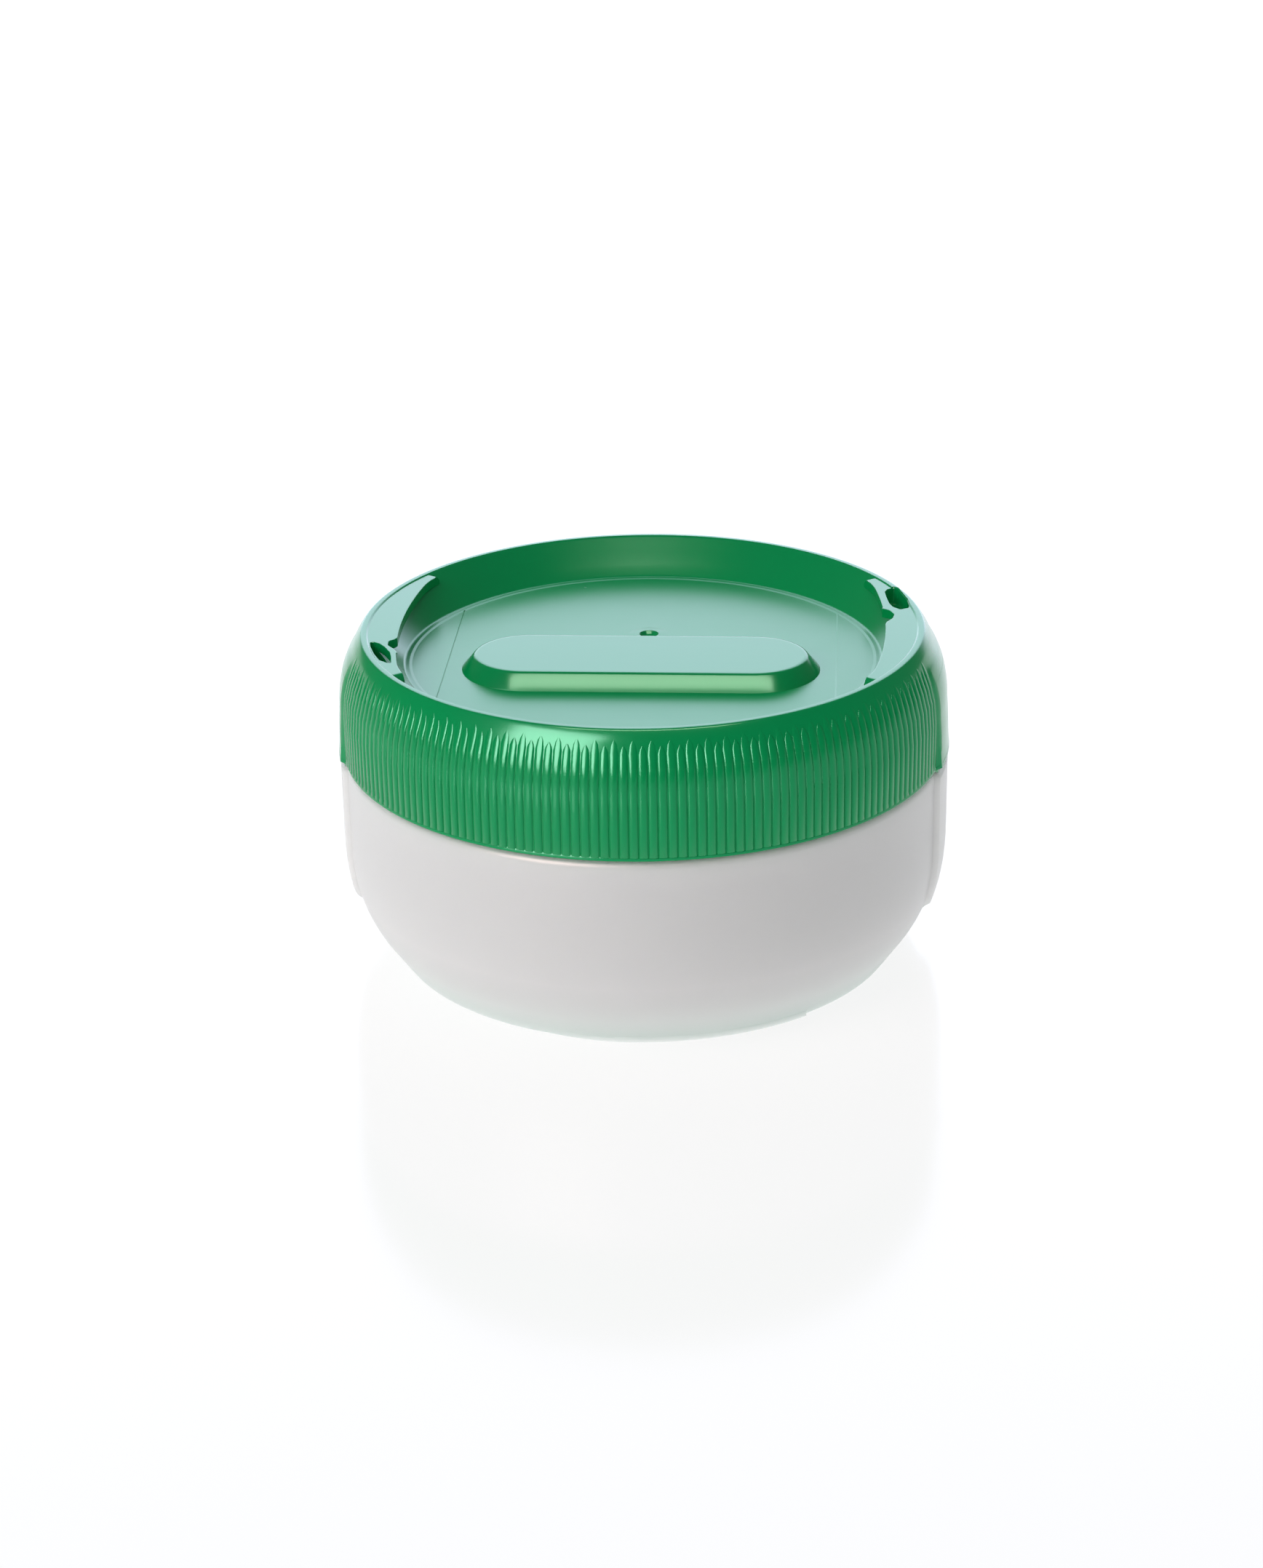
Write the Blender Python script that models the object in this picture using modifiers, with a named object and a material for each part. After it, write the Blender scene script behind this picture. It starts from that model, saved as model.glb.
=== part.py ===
"""A small round stacking jar with a one-piece screw lid and a sealing ring.

The bowl stands on the Z = 0 plane, centred on the Z axis. Its grip pads are at +X and -X,
its front is at -Y. The lid turns and rises about the Z axis.
Every length below is in millimetres and is scaled once, when a mesh is made.
"""

import math

import bmesh
import bpy

MM = 0.001
AROUND = 72                      # sides of every turned shape

# Whole jar
LID_TOP = 54.5
LID_EDGE = 34.3                  # lower edge of the lid's skirt
GAP = 0.3                        # clearance between pieces that touch

# Bowl, outside
BELLY_RADIUS = 49.0
BELLY_TOP = 32.8                 # the shoulder's rounding starts here
BELLY_LOW = 21.1                 # the wall is upright above this
BELLY_DROP = 26.1                # depth of the rounded lower wall, if it were carried on
BELLY_CORE = 20.0                # radius that the rounded wall would close to
BELLY_POWER = 2.45
FOOT_HEIGHT = 5.0                # a cone below the crease
FOOT_RADIUS = 41.5
FOOT_INSIDE = 39.0               # inner edge of the ring that the jar stands on
FOOT_RECESS = 2.2
WALL = 1.8
SHOULDER = 33.9                  # flat ledge between the wall and the neck
FLOOR_TOP = 4.2

# Neck and its thread
NECK_RADIUS = 46.4
NECK_INSIDE = 44.8
NECK_TOP = 48.7
THREAD_LEAD = 12.0               # rise of the lid in one turn
THREAD_STARTS = 3
THREAD_SWEEP = 84.0              # degrees covered by one ridge
THREAD_WIRE = 0.75               # radius of the round ridge
NECK_RIDGE_FOOT = 40.2           # height at which each neck ridge starts
RIDGE_SINK = 0.1                 # how far a ridge's centre line lies off the wall

# Lid
RIB_RADIUS = 49.3                # over the crests of the grip ribs
SKIRT_FLARE = 0.1                # the skirt is this much wider at its lower edge
SKIRT_INSIDE = 47.7
SHOULDER_FOOT = 43.0             # the lid's side starts to curve in
SHOULDER_TURN = math.radians(40) # how far it has leaned over at the lip
LIP_OUTSIDE = 45.62
LIP_INSIDE = 44.3
PANEL_TOP = 48.9
PANEL_RADIUS = 38.45
PANEL_WALL = 1.6
SEAL_CEILING = 50.8              # face that presses on the sealing ring

# Sealing ring
SEAL_INSIDE = 43.6
SEAL_OUTSIDE = 46.5

# Grip pads at +X and -X
PAD_PROUD = 0.85                 # over the belly
# The lid's pads stand over the rib crests most at the skirt's edge: (height, how proud).
LID_PAD_PROUD = ((35.0, 0.68), (36.5, 0.5), (40.0, 0.42), (43.0, 0.27), (48.5, 0.25), (50.5, 0.1), (51.4, -0.05))
PAD_HALF_WIDTH = 12.4
PAD_FOOT = 8.6                   # lower end of the bowl's pads

# Stacking platforms inside the lip, at +X and -X
SEAT_TOP = 54.3
SEAT_THICK = 1.5
SEAT_EDGE = 39.3                 # nearest point of the inner edge to the axis
SEAT_EDGE_BEND = 80.0            # radius of that edge
SEAT_OUTSIDE = 44.6
SLOT_FLOOR = 51.8
SLOT_OUTLINE = [(43.2, 9.6), (41.9, 8.9), (40.5, 10.6), (39.6, 14.0), (39.3, 17.8), (40.6, 18.6), (42.2, 15.0)]
SLOT_CORNER = 0.5
# The notch in each platform's inner edge; the two differ, and the left one is given half turned.
RIGHT_CATCH = [(36.0, 2.0), (39.4, 2.0), (40.6, 4.4), (40.75, 6.0), (40.1, 7.7), (38.9, 8.5), (36.0, 9.4)]
LEFT_CATCH = [(36.0, 7.7), (39.6, 7.7), (40.3, 8.4), (40.2, 10.2), (39.1, 11.7), (38.3, 13.4), (36.0, 15.4)]
CATCH_CORNER = 0.5

# Bar and filling mark on the lid's panel
BAR_HALF_LENGTH = 28.8
BAR_HALF_WIDTH = 10.5
BAR_HEIGHT = 2.5
BAR_CHAMFER = 2.1
BAR_Y = -5.6
GATE_PLACE = (0.4, 10.2)
GATE_RADIUS = 1.5
GATE_DEPTH = 0.7

# Lugs on the foot, one in front and one behind
LUG_RADIUS = 42.2
LUG_HEIGHT = 1.2
LUG_ANGLES = (-18.6, -3.8, 40.9)  # degrees from the front: ramp start, full width, square end

JAR_NAME = "stacking_jar"


# ---------------------------------------------------------------- scene helpers

def clear_scene():
    for obj in list(bpy.data.objects):
        bpy.data.objects.remove(obj, do_unlink=True)


def new_collection(name):
    collection = bpy.data.collections.new(name)
    bpy.context.scene.collection.children.link(collection)
    return collection


def plastic(name, colour, roughness, alpha=1.0):
    material = bpy.data.materials.new(name)
    material.use_nodes = True
    shader = material.node_tree.nodes["Principled BSDF"]
    shader.inputs["Base Color"].default_value = (*colour, 1.0)
    shader.inputs["Roughness"].default_value = roughness
    shader.inputs["Metallic"].default_value = 0.0
    shader.inputs["Alpha"].default_value = alpha
    return material


def add_object(name, mesh, collection, material=None):
    obj = bpy.data.objects.new(name, mesh)
    collection.objects.link(obj)
    if material:
        mesh.materials.append(material)
    return obj


def as_helper(obj):
    """Marks a shape that is only joined to, or cut from, another."""
    obj.hide_render = True
    obj.display_type = "WIRE"
    return obj


def combine(obj, helper, operation):
    modifier = obj.modifiers.new(operation.lower() + "_" + helper.name, "BOOLEAN")
    modifier.operation = operation
    modifier.solver = "EXACT"
    modifier.object = helper


def shade_round(mesh):
    mesh.shade_smooth()
    mesh.set_sharp_from_angle(angle=math.radians(32))


# ---------------------------------------------------------------- shapes

def turned(name, profile, collection, material=None, closed=False):
    """A body turned about Z from (radius, height) points that end by running down its outer side."""
    points = [(radius * MM, 0.0, height * MM) for radius, height in profile]
    edges = [(i, i + 1) for i in range(len(points) - 1)]
    if closed:
        edges.append((len(points) - 1, 0))
    mesh = bpy.data.meshes.new(name)
    mesh.from_pydata(points, edges, [])
    obj = add_object(name, mesh, collection, material)
    screw = obj.modifiers.new("turn", "SCREW")
    screw.axis = "Z"
    screw.steps = AROUND
    screw.render_steps = AROUND
    screw.use_merge_vertices = True
    screw.merge_threshold = 0.00001
    screw.use_smooth_shade = True
    return obj


def loft(name, low, high, z_low, z_high, collection):
    """A solid between two outlines with the same number of points, both counter-clockwise."""
    shape = bmesh.new()
    below = [shape.verts.new((x * MM, y * MM, z_low * MM)) for x, y in low]
    above = [shape.verts.new((x * MM, y * MM, z_high * MM)) for x, y in high]
    shape.faces.new(list(reversed(below)))
    shape.faces.new(above)
    for i in range(len(below)):
        j = (i + 1) % len(below)
        shape.faces.new((below[i], below[j], above[j], above[i]))
    bmesh.ops.recalc_face_normals(shape, faces=shape.faces)
    mesh = bpy.data.meshes.new(name)
    shape.to_mesh(mesh)
    shape.free()
    return as_helper(add_object(name, mesh, collection))


def prism(name, outline, z_low, z_high, collection):
    return loft(name, outline, outline, z_low, z_high, collection)


def cylinder(name, centre, radius, z_low, z_high, sides, collection):
    outline = [
        (centre[0] + radius * math.cos(2 * math.pi * i / sides), centre[1] + radius * math.sin(2 * math.pi * i / sides))
        for i in range(sides)
    ]
    return prism(name, outline, z_low, z_high, collection)


def rounded(corners, radius, steps=3):
    """The outline through these corners with each one rounded by an arc."""
    outline = []
    for i, (x, y) in enumerate(corners):
        before = corners[i - 1]
        after = corners[(i + 1) % len(corners)]
        to_before = math.atan2(before[1] - y, before[0] - x)
        to_after = math.atan2(after[1] - y, after[0] - x)
        half = ((to_before - to_after) % (2 * math.pi)) / 2
        half = min(half, math.pi - half)
        reach = min(radius / math.tan(half), 0.45 * math.dist(before, (x, y)), 0.45 * math.dist(after, (x, y)))
        start = (x + reach * math.cos(to_before), y + reach * math.sin(to_before))
        end = (x + reach * math.cos(to_after), y + reach * math.sin(to_after))
        for step in range(steps + 1):
            t = step / steps
            a, b, c = (1 - t) ** 2, 2 * t * (1 - t), t ** 2
            outline.append((a * start[0] + b * x + c * end[0], a * start[1] + b * y + c * end[1]))
    return outline


def half_turned(outline):
    """The same outline turned by 180 degrees about the jar's axis."""
    return [(-x, -y) for x, y in outline]


def stadium(half_length, half_width, y_centre, steps=10):
    centre = half_length - half_width
    outline = []
    for side, start in ((1, -math.pi / 2), (-1, math.pi / 2)):
        for step in range(steps + 1):
            angle = start + math.pi * step / steps
            outline.append((side * centre + half_width * math.cos(angle), y_centre + half_width * math.sin(angle)))
    return outline


def ridge(name, radius, start_angle, start_height, collection):
    """One thread ridge: a round wire along a helix, thinned to nothing at both ends."""
    count = int(THREAD_SWEEP / 6) + 1
    curve = bpy.data.curves.new(name, "CURVE")
    curve.dimensions = "3D"
    curve.bevel_depth = THREAD_WIRE * MM
    curve.bevel_resolution = 1
    curve.use_fill_caps = True
    spline = curve.splines.new("POLY")
    spline.points.add(count - 1)
    for i, point in enumerate(spline.points):
        turn = THREAD_SWEEP * i / (count - 1)
        angle = math.radians(start_angle + turn)
        height = start_height + THREAD_LEAD * turn / 360
        point.co = (radius * math.cos(angle) * MM, radius * math.sin(angle) * MM, height * MM, 1.0)
        point.radius = min(1.0, 0.45 + 0.275 * min(i, count - 1 - i))
    wire = bpy.data.objects.new(name + "_wire", curve)
    collection.objects.link(wire)
    bpy.context.view_layer.update()
    mesh = bpy.data.meshes.new_from_object(wire.evaluated_get(bpy.context.evaluated_depsgraph_get()))
    bpy.data.objects.remove(wire, do_unlink=True)
    shape = bmesh.new()
    shape.from_mesh(mesh)
    bmesh.ops.remove_doubles(shape, verts=shape.verts, dist=0.00001)
    bmesh.ops.recalc_face_normals(shape, faces=shape.faces)
    shape.to_mesh(mesh)
    shape.free()
    return as_helper(add_object(name, mesh, collection))


def add_thread(obj, label, radius, start_height, helpers):
    for start in range(THREAD_STARTS):
        name = f"{label}_ridge_{start + 1}"
        combine(obj, ridge(name, radius, 30 + 360 * start / THREAD_STARTS, start_height, helpers), "UNION")


# ---------------------------------------------------------------- bowl

def belly_radius(height):
    if height >= BELLY_LOW:
        return BELLY_RADIUS
    share = ((BELLY_LOW - height) / BELLY_DROP) ** BELLY_POWER
    return BELLY_CORE + (BELLY_RADIUS - BELLY_CORE) * (1 - share) ** (1 / BELLY_POWER)


def belly_curve(offset, heights):
    """Points of the belly moved outward by the offset, square to the wall."""
    curve = []
    for height in heights:
        slope = (belly_radius(height + 0.05) - belly_radius(height - 0.05)) / 0.1
        length = math.hypot(1, slope)
        curve.append((belly_radius(height) + offset / length, height - offset * slope / length))
    return curve


def bowl_profile():
    inside = [(0, FLOOR_TOP), (36.5, FLOOR_TOP), (40.0, 4.7)]
    inside += belly_curve(-WALL, (6.2, 8.5, 11.5, 15.5, 21.2))
    inside += [(BELLY_RADIUS - WALL, 30.5), (46.3, 33.0), (NECK_INSIDE, 36.0)]
    neck = [
        (NECK_INSIDE, NECK_TOP - 0.4),
        (NECK_INSIDE + 0.4, NECK_TOP),
        (NECK_RADIUS - 0.4, NECK_TOP),
        (NECK_RADIUS, NECK_TOP - 0.4),
        (NECK_RADIUS, SHOULDER),
    ]
    turn_down = BELLY_RADIUS - (SHOULDER - BELLY_TOP)
    rounding = [
        (turn_down + (BELLY_RADIUS - turn_down) * math.sin(angle), BELLY_TOP + (SHOULDER - BELLY_TOP) * math.cos(angle))
        for angle in (0, math.pi / 6, math.pi / 3, math.pi / 2)
    ]
    outside = belly_curve(0, (21.2, 17.0, 13.5, 10.5, 8.0, 6.3, FOOT_HEIGHT))
    foot = [
        (FOOT_RADIUS + 0.25, 0.3),
        (FOOT_RADIUS, 0),
        (FOOT_INSIDE, 0),
        (FOOT_INSIDE - 0.8, FOOT_RECESS),
        (0, FOOT_RECESS),
    ]
    return inside + neck + rounding + outside + foot


def bowl_pads(helpers):
    """Both grip pads as one helper: a ring over the belly, kept only near +X and -X."""
    heights = (PAD_FOOT - 2, 8.0, 10.5, 13.5, 17.0, 21.2)
    outer = belly_curve(PAD_PROUD, reversed(heights))
    inner = belly_curve(-WALL / 2, heights)
    top = [
        (BELLY_RADIUS - WALL / 2, BELLY_TOP),
        (BELLY_RADIUS, BELLY_TOP + 0.6),
        (BELLY_RADIUS + PAD_PROUD * 0.7, BELLY_TOP + 0.2),
        (BELLY_RADIUS + PAD_PROUD, BELLY_TOP - 0.6),
    ]
    pads = as_helper(turned("bowl_pads", inner + top + outer, helpers, closed=True))
    reach = BELLY_RADIUS + 5
    corner = PAD_HALF_WIDTH * 0.45
    # The block is seen from the side here: its outline is drawn in (Y, Z) and runs along X.
    outline = [
        (-PAD_HALF_WIDTH, LID_EDGE),
        (-PAD_HALF_WIDTH, PAD_FOOT + corner),
        (-PAD_HALF_WIDTH + corner * 0.3, PAD_FOOT + corner * 0.3),
        (-PAD_HALF_WIDTH + corner, PAD_FOOT),
    ]
    outline += [(-y, z) for y, z in reversed(outline)]
    block = loft("bowl_pad_block", outline, outline, -reach, reach, helpers)
    for vertex in block.data.vertices:
        along, across, up = vertex.co.z, vertex.co.x, vertex.co.y
        vertex.co = (along, across, up)
    combine(pads, block, "INTERSECT")
    return pads


def lug_outline():
    """From the front, towards +X: a ramp out of the foot, the full width, a square end."""
    ramp, full, end = (math.radians(angle - 90) for angle in LUG_ANGLES)
    inner = FOOT_INSIDE + 1.2
    outline = [(FOOT_RADIUS * math.cos(ramp), FOOT_RADIUS * math.sin(ramp))]
    steps = 10
    for i in range(steps + 1):
        angle = full + (end - full) * i / steps
        outline.append((LUG_RADIUS * math.cos(angle), LUG_RADIUS * math.sin(angle)))
    for i in range(steps + 1):
        angle = end + (ramp - end) * i / steps
        outline.append((inner * math.cos(angle), inner * math.sin(angle)))
    return outline


def make_bowl(parts, helpers):
    colour = plastic("frosted_bowl", (0.63, 0.64, 0.62), 0.42, alpha=0.8)
    bowl = turned("bowl", bowl_profile(), parts, colour)
    combine(bowl, bowl_pads(helpers), "UNION")
    lug = lug_outline()
    combine(bowl, prism("front_lug", lug, 0.0, LUG_HEIGHT, helpers), "UNION")
    combine(bowl, prism("back_lug", half_turned(lug), 0.0, LUG_HEIGHT, helpers), "UNION")
    add_thread(bowl, "neck", NECK_RADIUS + RIDGE_SINK, NECK_RIDGE_FOOT, helpers)
    return bowl


# ---------------------------------------------------------------- sealing ring

def make_seal(parts):
    colour = plastic("seal_ring", (0.78, 0.79, 0.78), 0.5)
    low = NECK_TOP + GAP
    high = SEAL_CEILING - GAP
    profile = [
        (SEAL_INSIDE, low + 0.3),
        (SEAL_INSIDE, high - 0.3),
        (SEAL_INSIDE + 0.3, high),
        (SEAL_OUTSIDE - 0.3, high),
        (SEAL_OUTSIDE, high - 0.3),
        (SEAL_OUTSIDE, low + 0.3),
        (SEAL_OUTSIDE - 0.3, low),
        (SEAL_INSIDE + 0.3, low),
    ]
    return turned("seal_ring", profile, parts, colour, closed=True)


# ---------------------------------------------------------------- lid

def side_curve(offset, heights):
    """The lid's outer side moved outward: almost upright, then an arc that leans in up to the lip."""
    curve = []
    drop = LID_TOP - SHOULDER_FOOT
    for height in heights:
        if height <= SHOULDER_FOOT:
            flare = SKIRT_FLARE * (SHOULDER_FOOT - height) / (SHOULDER_FOOT - LID_EDGE)
            curve.append((RIB_RADIUS + flare + offset, height))
            continue
        rise = min(1.0, (height - SHOULDER_FOOT) / drop)
        angle = math.asin(rise * math.sin(SHOULDER_TURN))
        lean = (RIB_RADIUS - LIP_OUTSIDE) / (1 - math.cos(SHOULDER_TURN))
        radius = RIB_RADIUS - lean * (1 - math.cos(angle))
        across = drop / math.sin(SHOULDER_TURN) * math.cos(angle)
        up = lean * math.sin(angle)
        length = math.hypot(across, up)
        curve.append((radius + offset * across / length, height + offset * up / length))
    return curve


def lid_profile():
    fillet = 0.45
    slope = (LID_TOP - GAP - PANEL_TOP) / (LIP_INSIDE - PANEL_RADIUS)
    under = math.hypot(1, slope)
    cone_low = (PANEL_RADIUS + PANEL_WALL * slope / under, PANEL_TOP - PANEL_WALL / under)
    cone_high = cone_low[0] + (SEAL_CEILING - cone_low[1]) / slope
    below = [
        (0, PANEL_TOP - PANEL_WALL),
        (cone_low[0] - 0.6, PANEL_TOP - PANEL_WALL),
        (cone_high, SEAL_CEILING),
        (SKIRT_INSIDE - 1.0, SEAL_CEILING),
        (SKIRT_INSIDE - 0.5, SEAL_CEILING - 1.3),
        (SKIRT_INSIDE, SEAL_CEILING - 3.6),
        (SKIRT_INSIDE, LID_EDGE + 0.4),
        (SKIRT_INSIDE + 0.4, LID_EDGE),
    ]
    heights = (LID_EDGE + 0.3, SHOULDER_FOOT, 45.0, 47.0, 49.0, 50.8, 52.4, 53.6, LID_TOP)
    side = [(RIB_RADIUS + SKIRT_FLARE - 0.3, LID_EDGE)] + side_curve(0, heights)
    top = [
        (LIP_INSIDE + 0.35, LID_TOP),
        (LIP_INSIDE, LID_TOP - GAP),
        (PANEL_RADIUS + fillet, PANEL_TOP + fillet * slope),
        (PANEL_RADIUS - fillet, PANEL_TOP),
        (0, PANEL_TOP),
    ]
    return list(reversed(below + side + top))


def lid_pads(helpers):
    heights = [height for height, _ in LID_PAD_PROUD]
    outer = [side_curve(proud, (height,))[0] for height, proud in LID_PAD_PROUD]
    inner = side_curve(-0.8, heights)
    profile = [(RIB_RADIUS + 0.2, LID_EDGE + 0.25)] + outer + inner[::-1]
    pads = as_helper(turned("lid_pads", profile[::-1], helpers, closed=True))
    reach = RIB_RADIUS + 5
    outline = [
        (-PAD_HALF_WIDTH, -reach),
        (PAD_HALF_WIDTH, -reach),
        (PAD_HALF_WIDTH, reach),
        (-PAD_HALF_WIDTH, reach),
    ]
    block = prism("lid_pad_block", [(x, y) for y, x in outline][::-1], LID_EDGE - 1, LID_TOP + 1, helpers)
    combine(pads, block, "INTERSECT")
    return pads


def seat(side, helpers):
    """The platform at +X or -X: a disc with all but a crescent cut away."""
    label = "right" if side > 0 else "left"
    disc = cylinder(f"{label}_seat", (0, 0), SEAT_OUTSIDE, SEAT_TOP - SEAT_THICK, SEAT_TOP, AROUND, helpers)
    opening_x = side * (SEAT_EDGE - SEAT_EDGE_BEND)
    opening = cylinder(
        f"{label}_seat_opening", (opening_x, 0), SEAT_EDGE_BEND, SEAT_TOP - 4, SEAT_TOP + 2, 120, helpers
    )
    combine(disc, opening, "DIFFERENCE")
    return disc


def make_lid(parts, helpers):
    colour = plastic("green_lid", (0.0, 0.25, 0.072), 0.3)
    lid = turned("lid", lid_profile(), parts, colour)
    combine(lid, lid_pads(helpers), "UNION")
    for side in (1, -1):
        combine(lid, seat(side, helpers), "UNION")
    slot = rounded(SLOT_OUTLINE, SLOT_CORNER)
    sides = (("right", lambda outline: outline, RIGHT_CATCH), ("left", half_turned, LEFT_CATCH))
    for label, turn, notch in sides:
        catch = rounded(notch, CATCH_CORNER)
        combine(lid, prism(f"{label}_slot", turn(slot), SLOT_FLOOR, LID_TOP + 1, helpers), "DIFFERENCE")
        combine(lid, prism(f"{label}_catch", turn(catch), SEAT_TOP - SEAT_THICK - 0.3, LID_TOP + 1, helpers), "DIFFERENCE")
    low = stadium(BAR_HALF_LENGTH + 0.2, BAR_HALF_WIDTH + 0.2, BAR_Y)
    high = stadium(BAR_HALF_LENGTH - BAR_CHAMFER, BAR_HALF_WIDTH - BAR_CHAMFER, BAR_Y)
    bar = loft("panel_bar", low, high, PANEL_TOP - 0.24, PANEL_TOP + BAR_HEIGHT, helpers)
    combine(lid, bar, "UNION")
    gate = cylinder("gate_dimple", GATE_PLACE, GATE_RADIUS, PANEL_TOP - GATE_DEPTH, PANEL_TOP + 2, 20, helpers)
    combine(lid, gate, "DIFFERENCE")
    lid_ridge_foot = NECK_RIDGE_FOOT - 2 * THREAD_WIRE - GAP
    add_thread(lid, "lid", SKIRT_INSIDE - RIDGE_SINK, lid_ridge_foot, helpers)
    return lid


def main():
    clear_scene()
    parts = new_collection(JAR_NAME)
    helpers = new_collection(JAR_NAME + "_helpers")
    made = (make_bowl(parts, helpers), make_seal(parts), make_lid(parts, helpers))
    for obj in made:
        shade_round(obj.data)


main()
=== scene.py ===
import math

import bmesh
import bpy
from mathutils import Euler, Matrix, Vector


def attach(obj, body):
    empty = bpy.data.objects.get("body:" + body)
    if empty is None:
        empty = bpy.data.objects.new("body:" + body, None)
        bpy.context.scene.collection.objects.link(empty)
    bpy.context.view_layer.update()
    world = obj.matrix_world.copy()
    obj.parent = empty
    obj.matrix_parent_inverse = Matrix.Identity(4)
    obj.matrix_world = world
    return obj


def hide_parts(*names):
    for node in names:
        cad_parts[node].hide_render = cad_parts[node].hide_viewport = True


# Finished looks for the stacking jar. Sizes are in millimetres, and become metres when a mesh is made.

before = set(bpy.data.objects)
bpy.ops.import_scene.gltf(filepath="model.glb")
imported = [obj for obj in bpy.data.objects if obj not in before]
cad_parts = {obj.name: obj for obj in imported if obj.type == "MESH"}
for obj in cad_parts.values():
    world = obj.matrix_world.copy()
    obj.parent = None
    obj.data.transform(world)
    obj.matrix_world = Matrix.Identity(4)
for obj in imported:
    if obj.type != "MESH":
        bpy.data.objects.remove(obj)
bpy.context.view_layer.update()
mm = 0.001
parts = bpy.context.scene.collection


# wiring helpers

def addNode(tree, kind, links=None, **settings):
    made = tree.nodes.new(kind)
    for name, value in settings.items():
        setattr(made, name, value)
    for socket, value in (links or {}).items():
        feed(tree, made.inputs[socket], value)
    return made


def feed(tree, socket, value):
    if isinstance(value, bpy.types.NodeSocket):
        tree.links.new(value, socket)
    else:
        socket.default_value = value


def calc(tree, operation, *terms, clamp=False):
    made = tree.nodes.new("ShaderNodeMath")
    made.operation = operation
    made.use_clamp = clamp
    for slot, term in enumerate(terms):
        feed(tree, made.inputs[slot], term)
    return made.outputs[0]


def vectorCalc(tree, operation, *terms, scale=None):
    made = tree.nodes.new("ShaderNodeVectorMath")
    made.operation = operation
    for slot, term in enumerate(terms):
        feed(tree, made.inputs[slot], term)
    if scale is not None:
        feed(tree, made.inputs["Scale"], scale)
    return made.outputs[0]


def newTree(name, inputs):
    tree = bpy.data.node_groups.new(name, "GeometryNodeTree")
    tree.interface.new_socket("Geometry", in_out="INPUT", socket_type="NodeSocketGeometry")
    for label, kind in inputs.items():
        tree.interface.new_socket(label, in_out="INPUT", socket_type="NodeSocket" + kind)
    tree.interface.new_socket("Geometry", in_out="OUTPUT", socket_type="NodeSocketGeometry")
    return tree, tree.nodes.new("NodeGroupInput").outputs, tree.nodes.new("NodeGroupOutput").inputs


def grow(obj, tree, values):
    # the tree's inputs are set before the object is first evaluated, then it becomes a plain mesh
    modifier = obj.modifiers.new(tree.name, "NODES")
    modifier.node_group = tree
    for item in tree.interface.items_tree:
        if item.in_out == "INPUT" and item.name in values:
            modifier[item.identifier] = values[item.name]
    return settle(obj)


def settle(obj):
    bpy.context.view_layer.update()
    mesh = bpy.data.meshes.new_from_object(obj.evaluated_get(bpy.context.evaluated_depsgraph_get()))
    old = obj.data
    obj.modifiers.clear()
    obj.data = mesh
    bpy.data.meshes.remove(old)
    mesh.name = obj.name
    return obj


def meshObject(name, points, edges=(), faces=(), material=None):
    mesh = bpy.data.meshes.new(name)
    mesh.from_pydata([Vector(p) * mm for p in points], edges, faces)
    if material:
        mesh.materials.append(material)
    obj = bpy.data.objects.new(name, mesh)
    parts.objects.link(obj)
    return obj


def smoothShade(obj, angle=30):
    obj.data.shade_smooth()
    obj.data.set_sharp_from_angle(angle=math.radians(angle))
    return obj


def outward(obj):
    shape = bmesh.new()
    shape.from_mesh(obj.data)
    if shape.calc_volume(signed=True) < 0:
        bmesh.ops.reverse_faces(shape, faces=shape.faces)
    shape.to_mesh(obj.data)
    shape.free()
    return obj


def cutOrJoin(obj, tool, operation):
    modifier = obj.modifiers.new(tool.name, "BOOLEAN")
    modifier.operation = operation
    modifier.solver = "EXACT"
    modifier.object = tool
    settle(obj)
    bpy.data.objects.remove(tool, do_unlink=True)
    return obj


# materials

def newMaterial(name):
    material = bpy.data.materials.new(name)
    material.use_nodes = True
    tree = material.node_tree
    return material, tree, tree.nodes["Principled BSDF"]


def noise(tree, scale, detail=2.0, roughness=0.5):
    place = addNode(tree, "ShaderNodeTexCoord").outputs["Object"]
    return addNode(tree, "ShaderNodeTexNoise", {"Vector": place, "Scale": scale, "Detail": detail,
                                                "Roughness": roughness}).outputs["Fac"]


def ramp(tree, value, low, high, fromLow=0.0, fromHigh=1.0):
    return addNode(tree, "ShaderNodeMapRange", {"Value": value, "From Min": fromLow, "From Max": fromHigh,
                                                "To Min": low, "To Max": high}).outputs["Result"]


def blend(tree, share, first, second):
    mix = addNode(tree, "ShaderNodeMix", data_type="RGBA")
    feed(tree, mix.inputs["Factor"], share)
    for socket, colour in zip([one for one in mix.inputs if one.type == "RGBA"], (first, second)):
        feed(tree, socket, colour)
    return [one for one in mix.outputs if one.type == "RGBA"][0]


def tint(tree, share, first, second):
    return blend(tree, share, (*first, 1.0), (*second, 1.0))


greenLook = {
    "colour": (0.0, 0.305, 0.085),
    "deeper": (0.0, 0.288, 0.080),
    "roughness": (0.16, 0.19),
    "panelRoughness": 0.09, "panelTop": 0.04893, "panelBand": 0.0001,  # added within this band of height
    "grain": 0.000004, "grainStrength": 0.1,
    "shineTint": (0.40, 1.0, 0.85, 1.0),
}


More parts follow.
